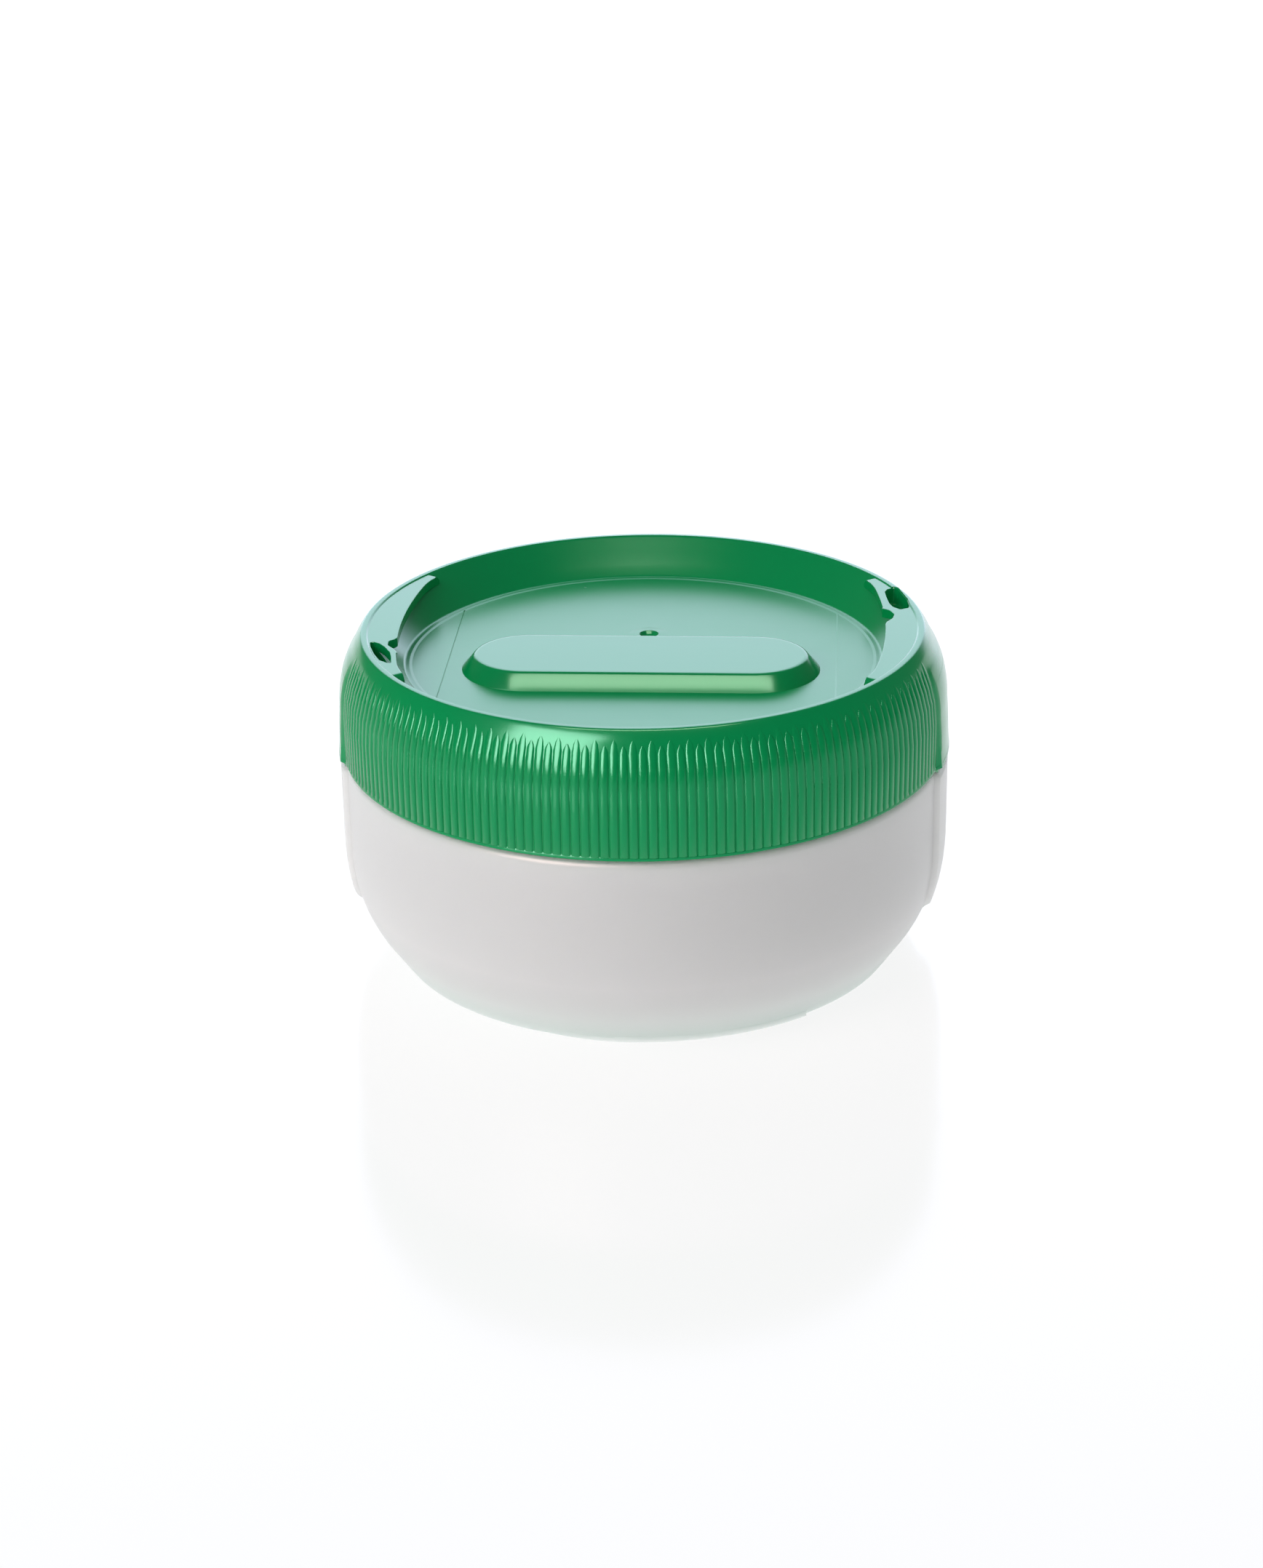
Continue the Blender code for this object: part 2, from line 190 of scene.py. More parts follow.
def makeGreen():
    material, tree, shader = newMaterial("greenMouldedPlastic")
    cloud = noise(tree, 45.0, 3.0)
    feed(tree, shader.inputs["Base Color"], tint(tree, cloud, greenLook["deeper"], greenLook["colour"]))
    patches = noise(tree, 260.0, 4.0)
    place = addNode(tree, "ShaderNodeTexCoord").outputs["Object"]
    height = addNode(tree, "ShaderNodeSeparateXYZ", {"Vector": place}).outputs["Z"]
    away = calc(tree, "ABSOLUTE", calc(tree, "SUBTRACT", height, greenLook["panelTop"]))
    onPanel = calc(tree, "LESS_THAN", away, greenLook["panelBand"])
    gloss = calc(tree, "MULTIPLY_ADD", onPanel, greenLook["panelRoughness"],
                 ramp(tree, patches, *greenLook["roughness"]))
    feed(tree, shader.inputs["Roughness"], gloss)
    grain = noise(tree, 2600.0, 3.0, 0.6)
    bump = addNode(tree, "ShaderNodeBump", {"Height": grain, "Strength": greenLook["grainStrength"],
                                               "Distance": greenLook["grain"]})
    feed(tree, shader.inputs["Normal"], bump.outputs["Normal"])
    shader.inputs["IOR"].default_value = 1.49
    shader.inputs["Specular Tint"].default_value = greenLook["shineTint"]
    return material


frostLook = {
    "upper": (0.86, 0.87, 0.855),
    # painted shade: the lower colour is darker than the plastic's own, standing in for less light reaching the bowl's
    # foot
    "lower": (0.60, 0.68, 0.655),
    "roughness": (0.34, 0.44),
    "depth": 0.006,
    "paintedShadeHeight": 0.012,  # the darker lower colour, painted shade at the bowl's foot, gives way to the upper one over this height
    "grain": 0.00001, "grainStrength": 0.3,
}


def makeFrost():
    material, tree, shader = newMaterial("frostedPlastic")
    place = addNode(tree, "ShaderNodeTexCoord").outputs["Object"]
    height = addNode(tree, "ShaderNodeSeparateXYZ", {"Vector": place}).outputs["Z"]
    # painted shade: the base colour darkens towards the bottom of the bowl, in place of the light that is missing
    # there
    rise = ramp(tree, height, 0.0, 1.0, 0.0, frostLook["paintedShadeHeight"])
    feed(tree, shader.inputs["Base Color"], tint(tree, rise, frostLook["lower"], frostLook["upper"]))
    patches = noise(tree, 180.0, 4.0)
    feed(tree, shader.inputs["Roughness"], ramp(tree, patches, *frostLook["roughness"]))
    grain = noise(tree, 1900.0, 3.0, 0.6)
    bump = addNode(tree, "ShaderNodeBump", {"Height": grain, "Strength": frostLook["grainStrength"],
                                               "Distance": frostLook["grain"]})
    feed(tree, shader.inputs["Normal"], bump.outputs["Normal"])
    shader.inputs["Subsurface Weight"].default_value = 1.0
    shader.inputs["Subsurface Radius"].default_value = (1.0, 1.0, 0.95)
    shader.inputs["Subsurface Scale"].default_value = frostLook["depth"]
    shader.inputs["IOR"].default_value = 1.49
    return material


def makeSilicone():
    material, tree, shader = newMaterial("sealSilicone")
    cloud = noise(tree, 300.0, 3.0)
    feed(tree, shader.inputs["Base Color"], tint(tree, cloud, (0.74, 0.76, 0.75), (0.82, 0.83, 0.82)))
    feed(tree, shader.inputs["Roughness"], ramp(tree, cloud, 0.45, 0.58))
    shader.inputs["Subsurface Weight"].default_value = 0.3
    shader.inputs["Subsurface Scale"].default_value = 0.002
    return material


green = makeGreen()
frost = makeFrost()
silicone = makeSilicone()
print("materials made")


# profiles

def softened(corners, steps=4):
    # corners are (radius, height) or (radius, height, rounding)
    line = []
    for place, corner in enumerate(corners):
        point = Vector(corner[:2])
        rounding = corner[2] if len(corner) > 2 else 0.0
        if not rounding:
            line.append(point)
            continue
        before = Vector(corners[place - 1][:2]) - point
        after = Vector(corners[place + 1][:2]) - point
        half = before.angle(after) / 2
        reach = min(rounding / math.tan(half), 0.48 * before.length, 0.48 * after.length)
        start = before.normalized() * reach
        end = after.normalized() * reach
        for step in range(steps + 1):
            t = step / steps
            line.append(point + start * (1 - t) ** 2 + end * t ** 2)
    return line


def swollen(line, amount):
    # the same points moved outward by amount(point), square to the line
    moved = []
    for place, point in enumerate(line):
        ahead = line[min(place + 1, len(line) - 1)] - line[max(place - 1, 0)]
        ahead.normalize()
        moved.append(point + Vector((-ahead.y, ahead.x)) * amount(point, place))
    return moved


def between(value, low, high):
    return max(0.0, min(1.0, (value - low) / (high - low)))


# a turned body whose section changes at two pads and two lugs

def makeTurnedTree():
    tree, given, result = newTree("turnedBody", {
        "Points": "Int", "Steps": "Int", "Pad Radius": "Float", "Pad Half Width": "Float", "Pad Edge": "Float",
        "Pad Corner": "Float", "Pad Foot": "Float", "Lug Start": "Float", "Lug Full": "Float", "Lug End": "Float",
        "Finish": "Material"})
    index = addNode(tree, "GeometryNodeInputIndex").outputs[0]
    count = given["Points"]
    column = calc(tree, "FLOOR", calc(tree, "DIVIDE", calc(tree, "ADD", index, 0.5), count))
    row = calc(tree, "SUBTRACT", index, calc(tree, "MULTIPLY", column, count))
    angle = calc(tree, "MULTIPLY", calc(tree, "DIVIDE", column, given["Steps"]), 2 * math.pi)

    def section(shift):
        place = calc(tree, "ADD", row, calc(tree, "MULTIPLY", count, float(shift)))
        sample = addNode(tree, "GeometryNodeSampleIndex", {
            "Geometry": given["Geometry"], "Value": addNode(tree, "GeometryNodeInputPosition").outputs[0],
            "Index": place}, data_type="FLOAT_VECTOR")
        return sample.outputs[0]

    plain, pad, lug = section(0), section(1), section(2)
    height = addNode(tree, "ShaderNodeSeparateXYZ", {"Vector": plain}).outputs["Z"]
    # a pad's outline is a rounded box, measured along the wall and upward
    corner = given["Pad Corner"]
    across = calc(tree, "MULTIPLY", calc(tree, "ARCSINE", calc(tree, "ABSOLUTE", calc(tree, "SINE", angle))),
                  given["Pad Radius"])
    overX = calc(tree, "MAXIMUM", calc(tree, "SUBTRACT", calc(tree, "ADD", across, corner),
                                       given["Pad Half Width"]), 0.0)
    overZ = calc(tree, "MAXIMUM", calc(tree, "SUBTRACT", calc(tree, "ADD", given["Pad Foot"], corner), height), 0.0)
    apart = calc(tree, "SQRT", calc(tree, "ADD", calc(tree, "MULTIPLY", overX, overX),
                                    calc(tree, "MULTIPLY", overZ, overZ)))
    padShare = calc(tree, "DIVIDE", calc(tree, "SUBTRACT", corner, apart), given["Pad Edge"], clamp=True)
    # lugs repeat every half turn, and are measured from the front
    turn = calc(tree, "SUBTRACT", calc(tree, "FLOORED_MODULO", angle, math.pi), math.pi / 2)
    rising = calc(tree, "DIVIDE", calc(tree, "SUBTRACT", turn, given["Lug Start"]),
                  calc(tree, "SUBTRACT", given["Lug Full"], given["Lug Start"]), clamp=True)
    lugShare = calc(tree, "MULTIPLY", rising, calc(tree, "LESS_THAN", turn, given["Lug End"]))
    spot = plain
    for other, share in ((pad, padShare), (lug, lugShare)):
        spot = vectorCalc(tree, "ADD", spot, vectorCalc(tree, "SCALE", vectorCalc(tree, "SUBTRACT", other, plain),
                                                        scale=share))
    split = addNode(tree, "ShaderNodeSeparateXYZ", {"Vector": spot}).outputs
    turned = addNode(tree, "ShaderNodeCombineXYZ", {
        "X": calc(tree, "MULTIPLY", split["X"], calc(tree, "COSINE", angle)),
        "Y": calc(tree, "MULTIPLY", split["X"], calc(tree, "SINE", angle)), "Z": split["Z"]})
    sheet = addNode(tree, "GeometryNodeMeshGrid", {
        "Vertices X": calc(tree, "ADD", given["Steps"], 1.0), "Vertices Y": count})
    wrapped = addNode(tree, "GeometryNodeSetPosition", {"Geometry": sheet.outputs["Mesh"],
                                                        "Position": turned.outputs[0]})
    closed = addNode(tree, "GeometryNodeMergeByDistance", {"Geometry": wrapped.outputs[0], "Distance": 0.000002})
    whole = addNode(tree, "GeometryNodeRealizeInstances", {"Geometry": closed.outputs[0]})
    finished = addNode(tree, "GeometryNodeSetMaterial", {"Geometry": whole.outputs[0], "Material": given["Finish"]})
    tree.links.new(finished.outputs[0], result["Geometry"])
    return tree


turnedTree = makeTurnedTree()


def turned(name, plain, finish, steps, pad=None, lug=None, settings=None):
    lines = (plain, pad or plain, lug or plain)
    points = [(p.x, 0.0, p.y) for line in lines for p in line]
    obj = meshObject(name, points)
    values = {"Points": len(plain), "Steps": steps, "Pad Radius": 1.0, "Pad Half Width": 0.0, "Pad Edge": 1.0,
              "Pad Corner": 0.0, "Pad Foot": 0.0, "Lug Start": 0.0, "Lug Full": 1.0, "Lug End": 0.0,
              "Finish": finish}
    values.update(settings or {})
    return outward(grow(obj, turnedTree, values))


# ridges that follow a helix

def makeThreadTree():
    tree, given, result = newTree("threadRidges", {
        "Starts": "Int", "Stations": "Int", "Radius": "Float", "Foot": "Float", "Lead": "Float", "Sweep": "Float",
        "First Angle": "Float", "Wire": "Float", "Finish": "Material"})
    index = addNode(tree, "GeometryNodeInputIndex").outputs[0]
    share = calc(tree, "DIVIDE", index, calc(tree, "SUBTRACT", given["Stations"], 1.0))
    turn = calc(tree, "MULTIPLY", share, given["Sweep"])
    angle = calc(tree, "ADD", turn, given["First Angle"])
    spot = addNode(tree, "ShaderNodeCombineXYZ", {
        "X": calc(tree, "MULTIPLY", given["Radius"], calc(tree, "COSINE", angle)),
        "Y": calc(tree, "MULTIPLY", given["Radius"], calc(tree, "SINE", angle)),
        "Z": calc(tree, "ADD", given["Foot"], calc(tree, "MULTIPLY", given["Lead"],
                                                   calc(tree, "DIVIDE", turn, 2 * math.pi)))})
    points = addNode(tree, "GeometryNodeMeshLine", {"Count": given["Stations"]})
    path = addNode(tree, "GeometryNodeSetPosition", {"Geometry": points.outputs[0], "Position": spot.outputs[0]})
    curve = addNode(tree, "GeometryNodeMeshToCurve", {"Mesh": path.outputs[0]})
    along = addNode(tree, "GeometryNodeSplineParameter").outputs["Factor"]
    nearEnd = calc(tree, "MINIMUM", along, calc(tree, "SUBTRACT", 1.0, along))
    thickness = calc(tree, "ADD", 0.4, calc(tree, "MULTIPLY", 0.6, calc(tree, "SMOOTH_MIN", 1.0,
                                            calc(tree, "MULTIPLY", nearEnd, 14.0), 0.4)))
    wire = addNode(tree, "GeometryNodeCurvePrimitiveCircle", {"Resolution": 14, "Radius": given["Wire"]})
    ridge = addNode(tree, "GeometryNodeCurveToMesh", {
        "Curve": curve.outputs[0], "Profile Curve": wire.outputs["Curve"], "Scale": thickness, "Fill Caps": True})
    starts = addNode(tree, "GeometryNodeMeshLine", {"Count": given["Starts"], "Offset": (0.0, 0.0, 0.0)})
    number = addNode(tree, "GeometryNodeInputIndex").outputs[0]
    spin = addNode(tree, "ShaderNodeCombineXYZ", {
        "Z": calc(tree, "MULTIPLY", calc(tree, "DIVIDE", number, given["Starts"]), 2 * math.pi)})
    copies = addNode(tree, "GeometryNodeInstanceOnPoints", {
        "Points": starts.outputs[0], "Instance": ridge.outputs[0],
        "Rotation": addNode(tree, "FunctionNodeEulerToRotation", {"Euler": spin.outputs[0]}).outputs[0]})
    whole = addNode(tree, "GeometryNodeRealizeInstances", {"Geometry": copies.outputs[0]})
    finished = addNode(tree, "GeometryNodeSetMaterial", {"Geometry": whole.outputs[0], "Material": given["Finish"]})
    tree.links.new(finished.outputs[0], result["Geometry"])
    return tree


threadTree = makeThreadTree()
thread = {"starts": 3, "lead": 12.0, "sweep": 84.0, "firstAngle": 30.0, "wire": 0.75, "neckFoot": 40.2,
          "clearance": 0.3, "stations": 61}


def threadRidges(name, radius, foot, finish, body):
    obj = meshObject(name, [(0, 0, 0)])
    grow(obj, threadTree, {
        "Starts": thread["starts"], "Stations": thread["stations"], "Radius": radius * mm, "Foot": foot * mm,
        "Lead": thread["lead"] * mm, "Sweep": math.radians(thread["sweep"]),
        "First Angle": math.radians(thread["firstAngle"]), "Wire": thread["wire"] * mm, "Finish": finish})
    outward(obj)
    smoothShade(obj, 50)
    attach(obj, body)
    return obj


# the frosted bowl

bowl = {
    "steps": 720,
    "floor": 4.2, "wall": 1.8,
    "bellyRadius": 49.0, "bellyLow": 21.1, "bellyDrop": 26.1, "bellyCore": 20.0, "bellyPower": 2.45,
    "shoulder": 33.9,
    "footHeight": 5.0, "footRadius": 41.5, "footInside": 39.0, "footRecess": 2.2,
    "neckRadius": 46.4, "neckInside": 44.8, "neckTop": 48.7,
    "padProud": 0.85, "padHalfWidth": 12.4, "padEdge": 0.9, "padCorner": 5.0, "padFoot": 8.3,
    "lugRadius": 42.2, "lugHeight": 1.2, "lugAngles": (-18.6, -3.8, 40.9),
}


def bellyRadius(height):
    if height >= bowl["bellyLow"]:
        return bowl["bellyRadius"]
    share = ((bowl["bellyLow"] - height) / bowl["bellyDrop"]) ** bowl["bellyPower"]
    return bowl["bellyCore"] + (bowl["bellyRadius"] - bowl["bellyCore"]) * (1 - share) ** (1 / bowl["bellyPower"])


def bellyLine(offset, heights):
    line = []
    for height in heights:
        slope = (bellyRadius(height + 0.02) - bellyRadius(height - 0.02)) / 0.04
        length = math.hypot(1, slope)
        line.append((bellyRadius(height) + offset / length, height - offset * slope / length))
    return line


def bowlProfile():
    floor = bowl["floor"]
    inside = [(radius, floor) for radius in (0, 6, 12, 18, 24, 30, 34)]
    inside += [(38.6, floor, 6.0)]
    inside += bellyLine(-bowl["wall"], (6.4, 7.2, 8.2, 9.5, 11, 13, 15.5, 18, 21.1, 25))
    inside += [(47.2, 30.6, 3.0), (bowl["neckInside"], 35.2, 3.0), (44.8, 40), (44.8, 45)]
    rim = [(44.8, bowl["neckTop"], 0.45), (bowl["neckRadius"], bowl["neckTop"], 0.45)]
    neck = [(46.4, 45), (46.4, 40), (46.4, 36), (46.4, bowl["shoulder"], 0.4)]
    shoulder = [(bowl["bellyRadius"], bowl["shoulder"], 1.1)]
    heights = (31, 29, 27, 25, 23, 21.1, 19, 17, 15.4, 14, 12.8, 11.8, 11, 10.2, 9.6, 9, 8.4, 7.8, 7.2, 6.6, 6.0, 5.5)
    outside = bellyLine(0, heights)
    crease = [(bellyRadius(bowl["footHeight"]), bowl["footHeight"], 0.35)]
    cone = [(43.8, 3.32), (42.75, 1.8), (42.2, 1.0), (41.9, 0.58)]
    foot = [(bowl["footRadius"], 0.0, 0.28), (bowl["footInside"], 0.0, 0.3), (38.4, bowl["footRecess"], 0.5)]
    under = [(radius, bowl["footRecess"]) for radius in (34, 28, 21, 14, 7, 0)]
    return softened(inside + rim + neck + shoulder + outside + crease + cone + foot + under)


def makeBowl():
    plain = bowlProfile()
    firstOutside = max(range(len(plain)), key=lambda place: plain[place].x + 0.001 * plain[place].y)

    def padSwell(point, place):
        if place < firstOutside - 4:
            return 0.0
        return bowl["padProud"] * between(point.y, 5.4, 8.0) * between(33.55 - point.y, 0.0, 0.55)

    def lugSwell(point):
        return Vector((max(point.x, bowl["lugRadius"]), point.y)) if onFoot(point) else point

    def onFoot(point):
        return point.y < bowl["lugHeight"] and point.x > bowl["footRadius"] - 0.35

    pad = swollen(plain, padSwell)
    lug = [lugSwell(point) for point in plain]
    obj = turned("frostedBowl", plain, frost, bowl["steps"], pad, lug, {
        "Pad Radius": bowl["bellyRadius"] * mm, "Pad Half Width": bowl["padHalfWidth"] * mm,
        "Pad Edge": bowl["padEdge"] * mm, "Pad Corner": bowl["padCorner"] * mm, "Pad Foot": bowl["padFoot"] * mm,
        "Lug Start": math.radians(bowl["lugAngles"][0]), "Lug Full": math.radians(bowl["lugAngles"][1]),
        "Lug End": math.radians(bowl["lugAngles"][2])})
    smoothShade(obj, 34)
    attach(obj, "jar")
    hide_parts("bowl")
    neck = threadRidges("neckThread", bowl["neckRadius"] + 0.1, thread["neckFoot"], frost, "jar")
    return obj


makeBowl()
print("bowl made")


# the sealing ring

seal = {"steps": 240, "middle": 45.05, "inside": 43.6, "outside": 46.5, "low": 49.0, "high": 50.5,
        "rounding": 0.35, "groove": 0.18}


def makeSeal():
    middle = (seal["low"] + seal["high"]) / 2
    line = softened([
        (seal["middle"], seal["low"]), (seal["inside"], seal["low"], seal["rounding"]),
        (seal["inside"] + seal["groove"], middle, 0.2), (seal["inside"], seal["high"], seal["rounding"]),
        (seal["outside"], seal["high"], seal["rounding"]), (seal["outside"] - seal["groove"], middle, 0.2),
        (seal["outside"], seal["low"], seal["rounding"]), (seal["middle"], seal["low"])])
    obj = turned("sealRing", line, silicone, seal["steps"])
    smoothShade(obj, 50)
    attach(obj, "seal")
    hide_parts("seal_ring")


makeSeal()
print("sealing ring made")


# the green lid

lid = {
    "steps": 480,
    "top": 54.5, "edge": 34.3, "sideRadius": 49.3, "flare": 0.1,
    "shoulderFoot": 43.0, "shoulderTurn": 40.0, "lipOutside": 45.62,
    "coneFoot": (38.75, 48.98), "coneTop": (44.4, 54.26),
    "panel": 48.9, "panelUnder": 47.3, "stepRadius": 37.75, "step": 0.08,
    "ceiling": 50.8, "skirtInside": 47.7,
    "ribDepth": 0.3, "ribTop": 53.0, "ribFull": 48.8, "bandTop": 34.9,
    "padHalfWidth": 12.9, "padEdge": 1.3,
    "padProud": [(34.4, 0.66), (36.5, 0.5), (40.0, 0.42), (43.0, 0.27), (48.5, 0.25), (50.5, 0.1), (51.6, 0.0)],
}


def sidePoint(height, inset=0.0):
    # on the crest of the ribs: an upright wall, then an arc that leans in up to the lip
    if height <= lid["shoulderFoot"]:
        flare = lid["flare"] * (lid["shoulderFoot"] - height) / (lid["shoulderFoot"] - lid["edge"])
        return Vector((lid["sideRadius"] + flare - inset, height)), Vector((1, 0))
    turn = math.radians(lid["shoulderTurn"])
    drop = lid["top"] - lid["shoulderFoot"]
    lean = (lid["sideRadius"] - lid["lipOutside"]) / (1 - math.cos(turn))
    angle = math.asin((height - lid["shoulderFoot"]) / drop * math.sin(turn))
    square = Vector((drop / math.sin(turn) * math.cos(angle), lean * math.sin(angle))).normalized()
    return Vector((lid["sideRadius"] - lean * (1 - math.cos(angle)), height)) - square * inset, square


def ribDepth(height):
    share = between(lid["ribTop"] - height, 0.0, lid["ribTop"] - lid["ribFull"])
    return lid["ribDepth"] * share


def lidSide():
    heights = [53.86, 53.6, 53.3, 53.0, 52.6, 52.1, 51.6, 51.1, 50.6, 50.1, 49.5, 48.9, 48.2, 47.5,
               46.7, 45.9, 45.0, 44.0, 43.0, 41.5, 40.0, 38.5, 37.2, 36.2, 35.4, lid["bandTop"] + 0.08]
    return [tuple(sidePoint(height, ribDepth(height))[0]) for height in heights]


def lidProfile():
    panel = [(radius, lid["panel"]) for radius in (0, 4, 8, 12, 16, 20, 24, 28, 31, 33.5, 35.5, 36.8)]
    rise = [(lid["stepRadius"] - 0.25, lid["panel"], 0.1),
            (lid["stepRadius"] + 0.2, lid["panel"] + lid["step"], 0.1), (38.15, lid["coneFoot"][1])]
    cone = [(*lid["coneFoot"], 0.8), (40.5, 50.64), (42.4, 52.4), (43.6, 53.51)]
    lip = [(*lid["coneTop"], 0.15), (lid["coneTop"][0] + 0.3, lid["top"], 0.2), (45.05, lid["top"]),
           (lid["lipOutside"], lid["top"], 1.1)]
    band = [(49.2, lid["bandTop"] - 0.1, 0.08), (49.24, lid["edge"], 0.3)]
    skirt = [(lid["skirtInside"], lid["edge"], 0.3), (47.7, 37), (47.7, 40), (47.7, 43), (47.7, 45.6),
             (47.65, 47.2, 1.5), (47.2, 49.5, 1.0), (46.7, lid["ceiling"], 0.5), (45.0, lid["ceiling"]),
             (42.93, lid["ceiling"], 0.5), (41.2, 49.24), (39.1, lid["panelUnder"], 0.8)]
    under = [(radius, lid["panelUnder"]) for radius in (36, 30, 22, 14, 7, 0)]
    return softened(panel + rise + cone + lip + lidSide() + band + skirt + under)


def padSwell(height):
    steps = lid["padProud"]
    if height <= steps[0][0]:
        return steps[0][1] * between(height, lid["edge"] - 0.1, steps[0][0])
    for (low, first), (high, second) in zip(steps, steps[1:]):
        if height <= high:
            return first + (second - first) * (height - low) / (high - low)
    return 0.0


def lidPad(plain):
    highest = max(range(len(plain)), key=lambda place: plain[place].y + 0.001 * plain[place].x)
    lowest = min(range(highest, len(plain)), key=lambda place: plain[place].y)

    def swell(point, place):
        if not highest < place < lowest:
            return 0.0
        fade = between(52.2 - point.y, 0.0, 1.6)
        return padSwell(point.y) + ribDepth(point.y) * fade

    pad = swollen(plain, swell)
    for place, point in enumerate(pad):
        if highest < place < lowest and point.y < 36.0:
            # the pad's wall is upright over the plain band
            point.x = min(point.x, sidePoint(point.y)[0].x + padSwell(point.y))
    return pad


# seats: crescent platforms inside the lip

seat = {
    "top": 54.3, "thick": 1.5, "edgeX": 39.35, "edgeBend": 105.0, "outside": 44.7, "softEdge": 0.12,
    "reach": 22.4, "slope": 0.9,
    "rightBite": [(39.5, 2.3), (40.6, 4.4), (40.8, 6.0), (40.1, 7.8), (38.8, 8.7)],
    "leftBite": [(39.6, 7.8), (40.35, 8.5), (40.2, 10.3), (39.1, 11.8), (38.3, 13.4)],
    "rightSlot": [(43.3, 10.35), (43.1, 9.1), (41.8, 8.35), (40.7, 9.55), (40.1, 11.2), (39.6, 14.7), (39.4, 16.85),
                  (39.8, 18.0), (40.8, 18.8), (41.5, 18.3), (42.3, 15.3), (43.0, 12.8)],
    "leftSlot": [(42.9, 10.85), (43.2, 9.2), (42.75, 8.9), (41.65, 9.65), (40.6, 11.25), (39.5, 13.55), (39.1, 15.4),
                 (38.7, 18.3), (39.4, 18.1), (40.66, 17.0), (41.9, 14.1)],
    "slotFloor": 51.6, "slotCorner": 0.35,
}


def flatRounded(corners, rounding, steps=5):
    # closed outline with softened corners; the rounding is one number or one for each corner
    count = len(corners)
    line = []
    for place in range(count):
        x, y = corners[place]
        point = Vector((x, y))
        before = Vector(corners[place - 1]) - point
        after = Vector(corners[(place + 1) % count]) - point
        amount = rounding[place] if isinstance(rounding, (list, tuple)) else rounding
        half = before.angle(after) / 2
        if amount <= 0 or half > 1.5:
            line.append(point)
            continue
        reach = min(amount / math.tan(half), 0.45 * before.length, 0.45 * after.length)
        for step in range(steps + 1):
            t = step / steps
            line.append(point + before.normalized() * reach * (1 - t) ** 2 + after.normalized() * reach * t ** 2)
    return line


def area(outline):
    return sum(outline[i - 1].x * p.y - p.x * outline[i - 1].y for i, p in enumerate(outline)) / 2


def inset(outline, distance):
    # moves a closed outline inward, keeping its number of points
    if area(outline) < 0:
        outline = outline[::-1]
    moved = []
    count = len(outline)
    for place, point in enumerate(outline):
        ahead = (outline[(place + 1) % count] - outline[place - 1]).normalized()
        moved.append(point + Vector((-ahead.y, ahead.x)) * distance)
    return moved


def stacked(name, levels, finish):
    # a closed solid through outlines at rising heights
    count = len(levels[0][0])
    points, faces = [], []
    for outline, height in levels:
        points += [(p.x, p.y, height) for p in outline]
    for level in range(len(levels) - 1):
        for place in range(count):
            other = (place + 1) % count
            low, high = level * count, (level + 1) * count
            faces.append((low + place, low + other, high + other, high + place))
    faces.append(tuple(reversed(range(count))))
    faces.append(tuple(range((len(levels) - 1) * count, len(levels) * count)))
    return meshObject(name, points, faces=faces, material=finish)


def seatOutline(side, reach):
    # as seen at +X; the left seat is the same shape half turned, with its own notch
    bend, centreX = seat["edgeBend"], seat["edgeX"] - seat["edgeBend"]

    def edgePoint(y):
        endCurve = max(0.0, abs(y) - 18.0)
        return Vector((centreX + math.sqrt(bend * bend - y * y) - 0.03 * endCurve ** 2, y))

    notch = seat["rightBite" if side > 0 else "leftBite"]
    start, end = notch[0][1] - 0.9, notch[-1][1] + 0.6
    corners = [tuple(edgePoint(start)), *notch, tuple(edgePoint(end))]
    bite = flatRounded(corners, [0, 0.5, 0.9, 0.9, 0.9, 0.5, 0], 4)
    lower = [edgePoint(-reach + (reach + start - 0.3) * i / 16) for i in range(17)]
    upper = [edgePoint(end + 0.3 + (reach - end - 0.3) * i / 10) for i in range(11)]
    inner = lower + bite + upper
    top, bottom = math.atan2(inner[-1].y, inner[-1].x), math.atan2(inner[0].y, inner[0].x)
    outer = []
    for i in range(81):
        angle = top + 0.004 + (bottom - top - 0.008) * i / 80
        outer.append(Vector((seat["outside"] * math.cos(angle), seat["outside"] * math.sin(angle))))
    return [p * side for p in inner + outer]


def makeSeat(side):
    # the ends slope away, so that they run into the cone
    soft, reach = seat["softEdge"], seat["reach"]
    low, high = seat["top"] - seat["thick"], seat["top"]
    steps = [(0.0, 1.0, low), (0.0, 1.0, high - 0.9), (0.0, 0.62, high - 0.42), (0.0, 0.3, high - soft),
             (soft * 0.3, 0.16, high - soft * 0.3), (soft, 0.0, high), (soft + 0.04, -0.04, high)]
    levels = [(inset(seatOutline(side, reach + seat["slope"] * out), edge), height) for edge, out, height in steps]
    return stacked("seatPlate", levels, green)


def slotCutter(side):
    outline = [p * side for p in flatRounded(seat["rightSlot" if side > 0 else "leftSlot"], seat["slotCorner"])]
    if area(outline) < 0:
        outline = outline[::-1]
    top = seat["top"]
    return stacked("slotCutter", [(inset(outline, 0.16), seat["slotFloor"]), (outline, seat["slotFloor"] + 0.3),
                                  (outline, top - 0.1), (inset(outline, -0.1), top + 0.02),
                                  (inset(outline, -0.2), top + 0.9)], green)


# the raised bar, the gate mark and the two witness lines on the panel

bar = {"halfLength": 28.8, "halfWidth": 10.5, "height": 2.5, "chamfer": 2.1, "y": -5.6, "softTop": 0.22}
gate = {"place": (0.4, 10.2), "radius": 1.5, "depth": 0.75, "halo": 3.7, "haloHeight": 0.1}
witness = {"x": 31.5, "width": 0.16, "depth": 0.07, "reach": 21.0}


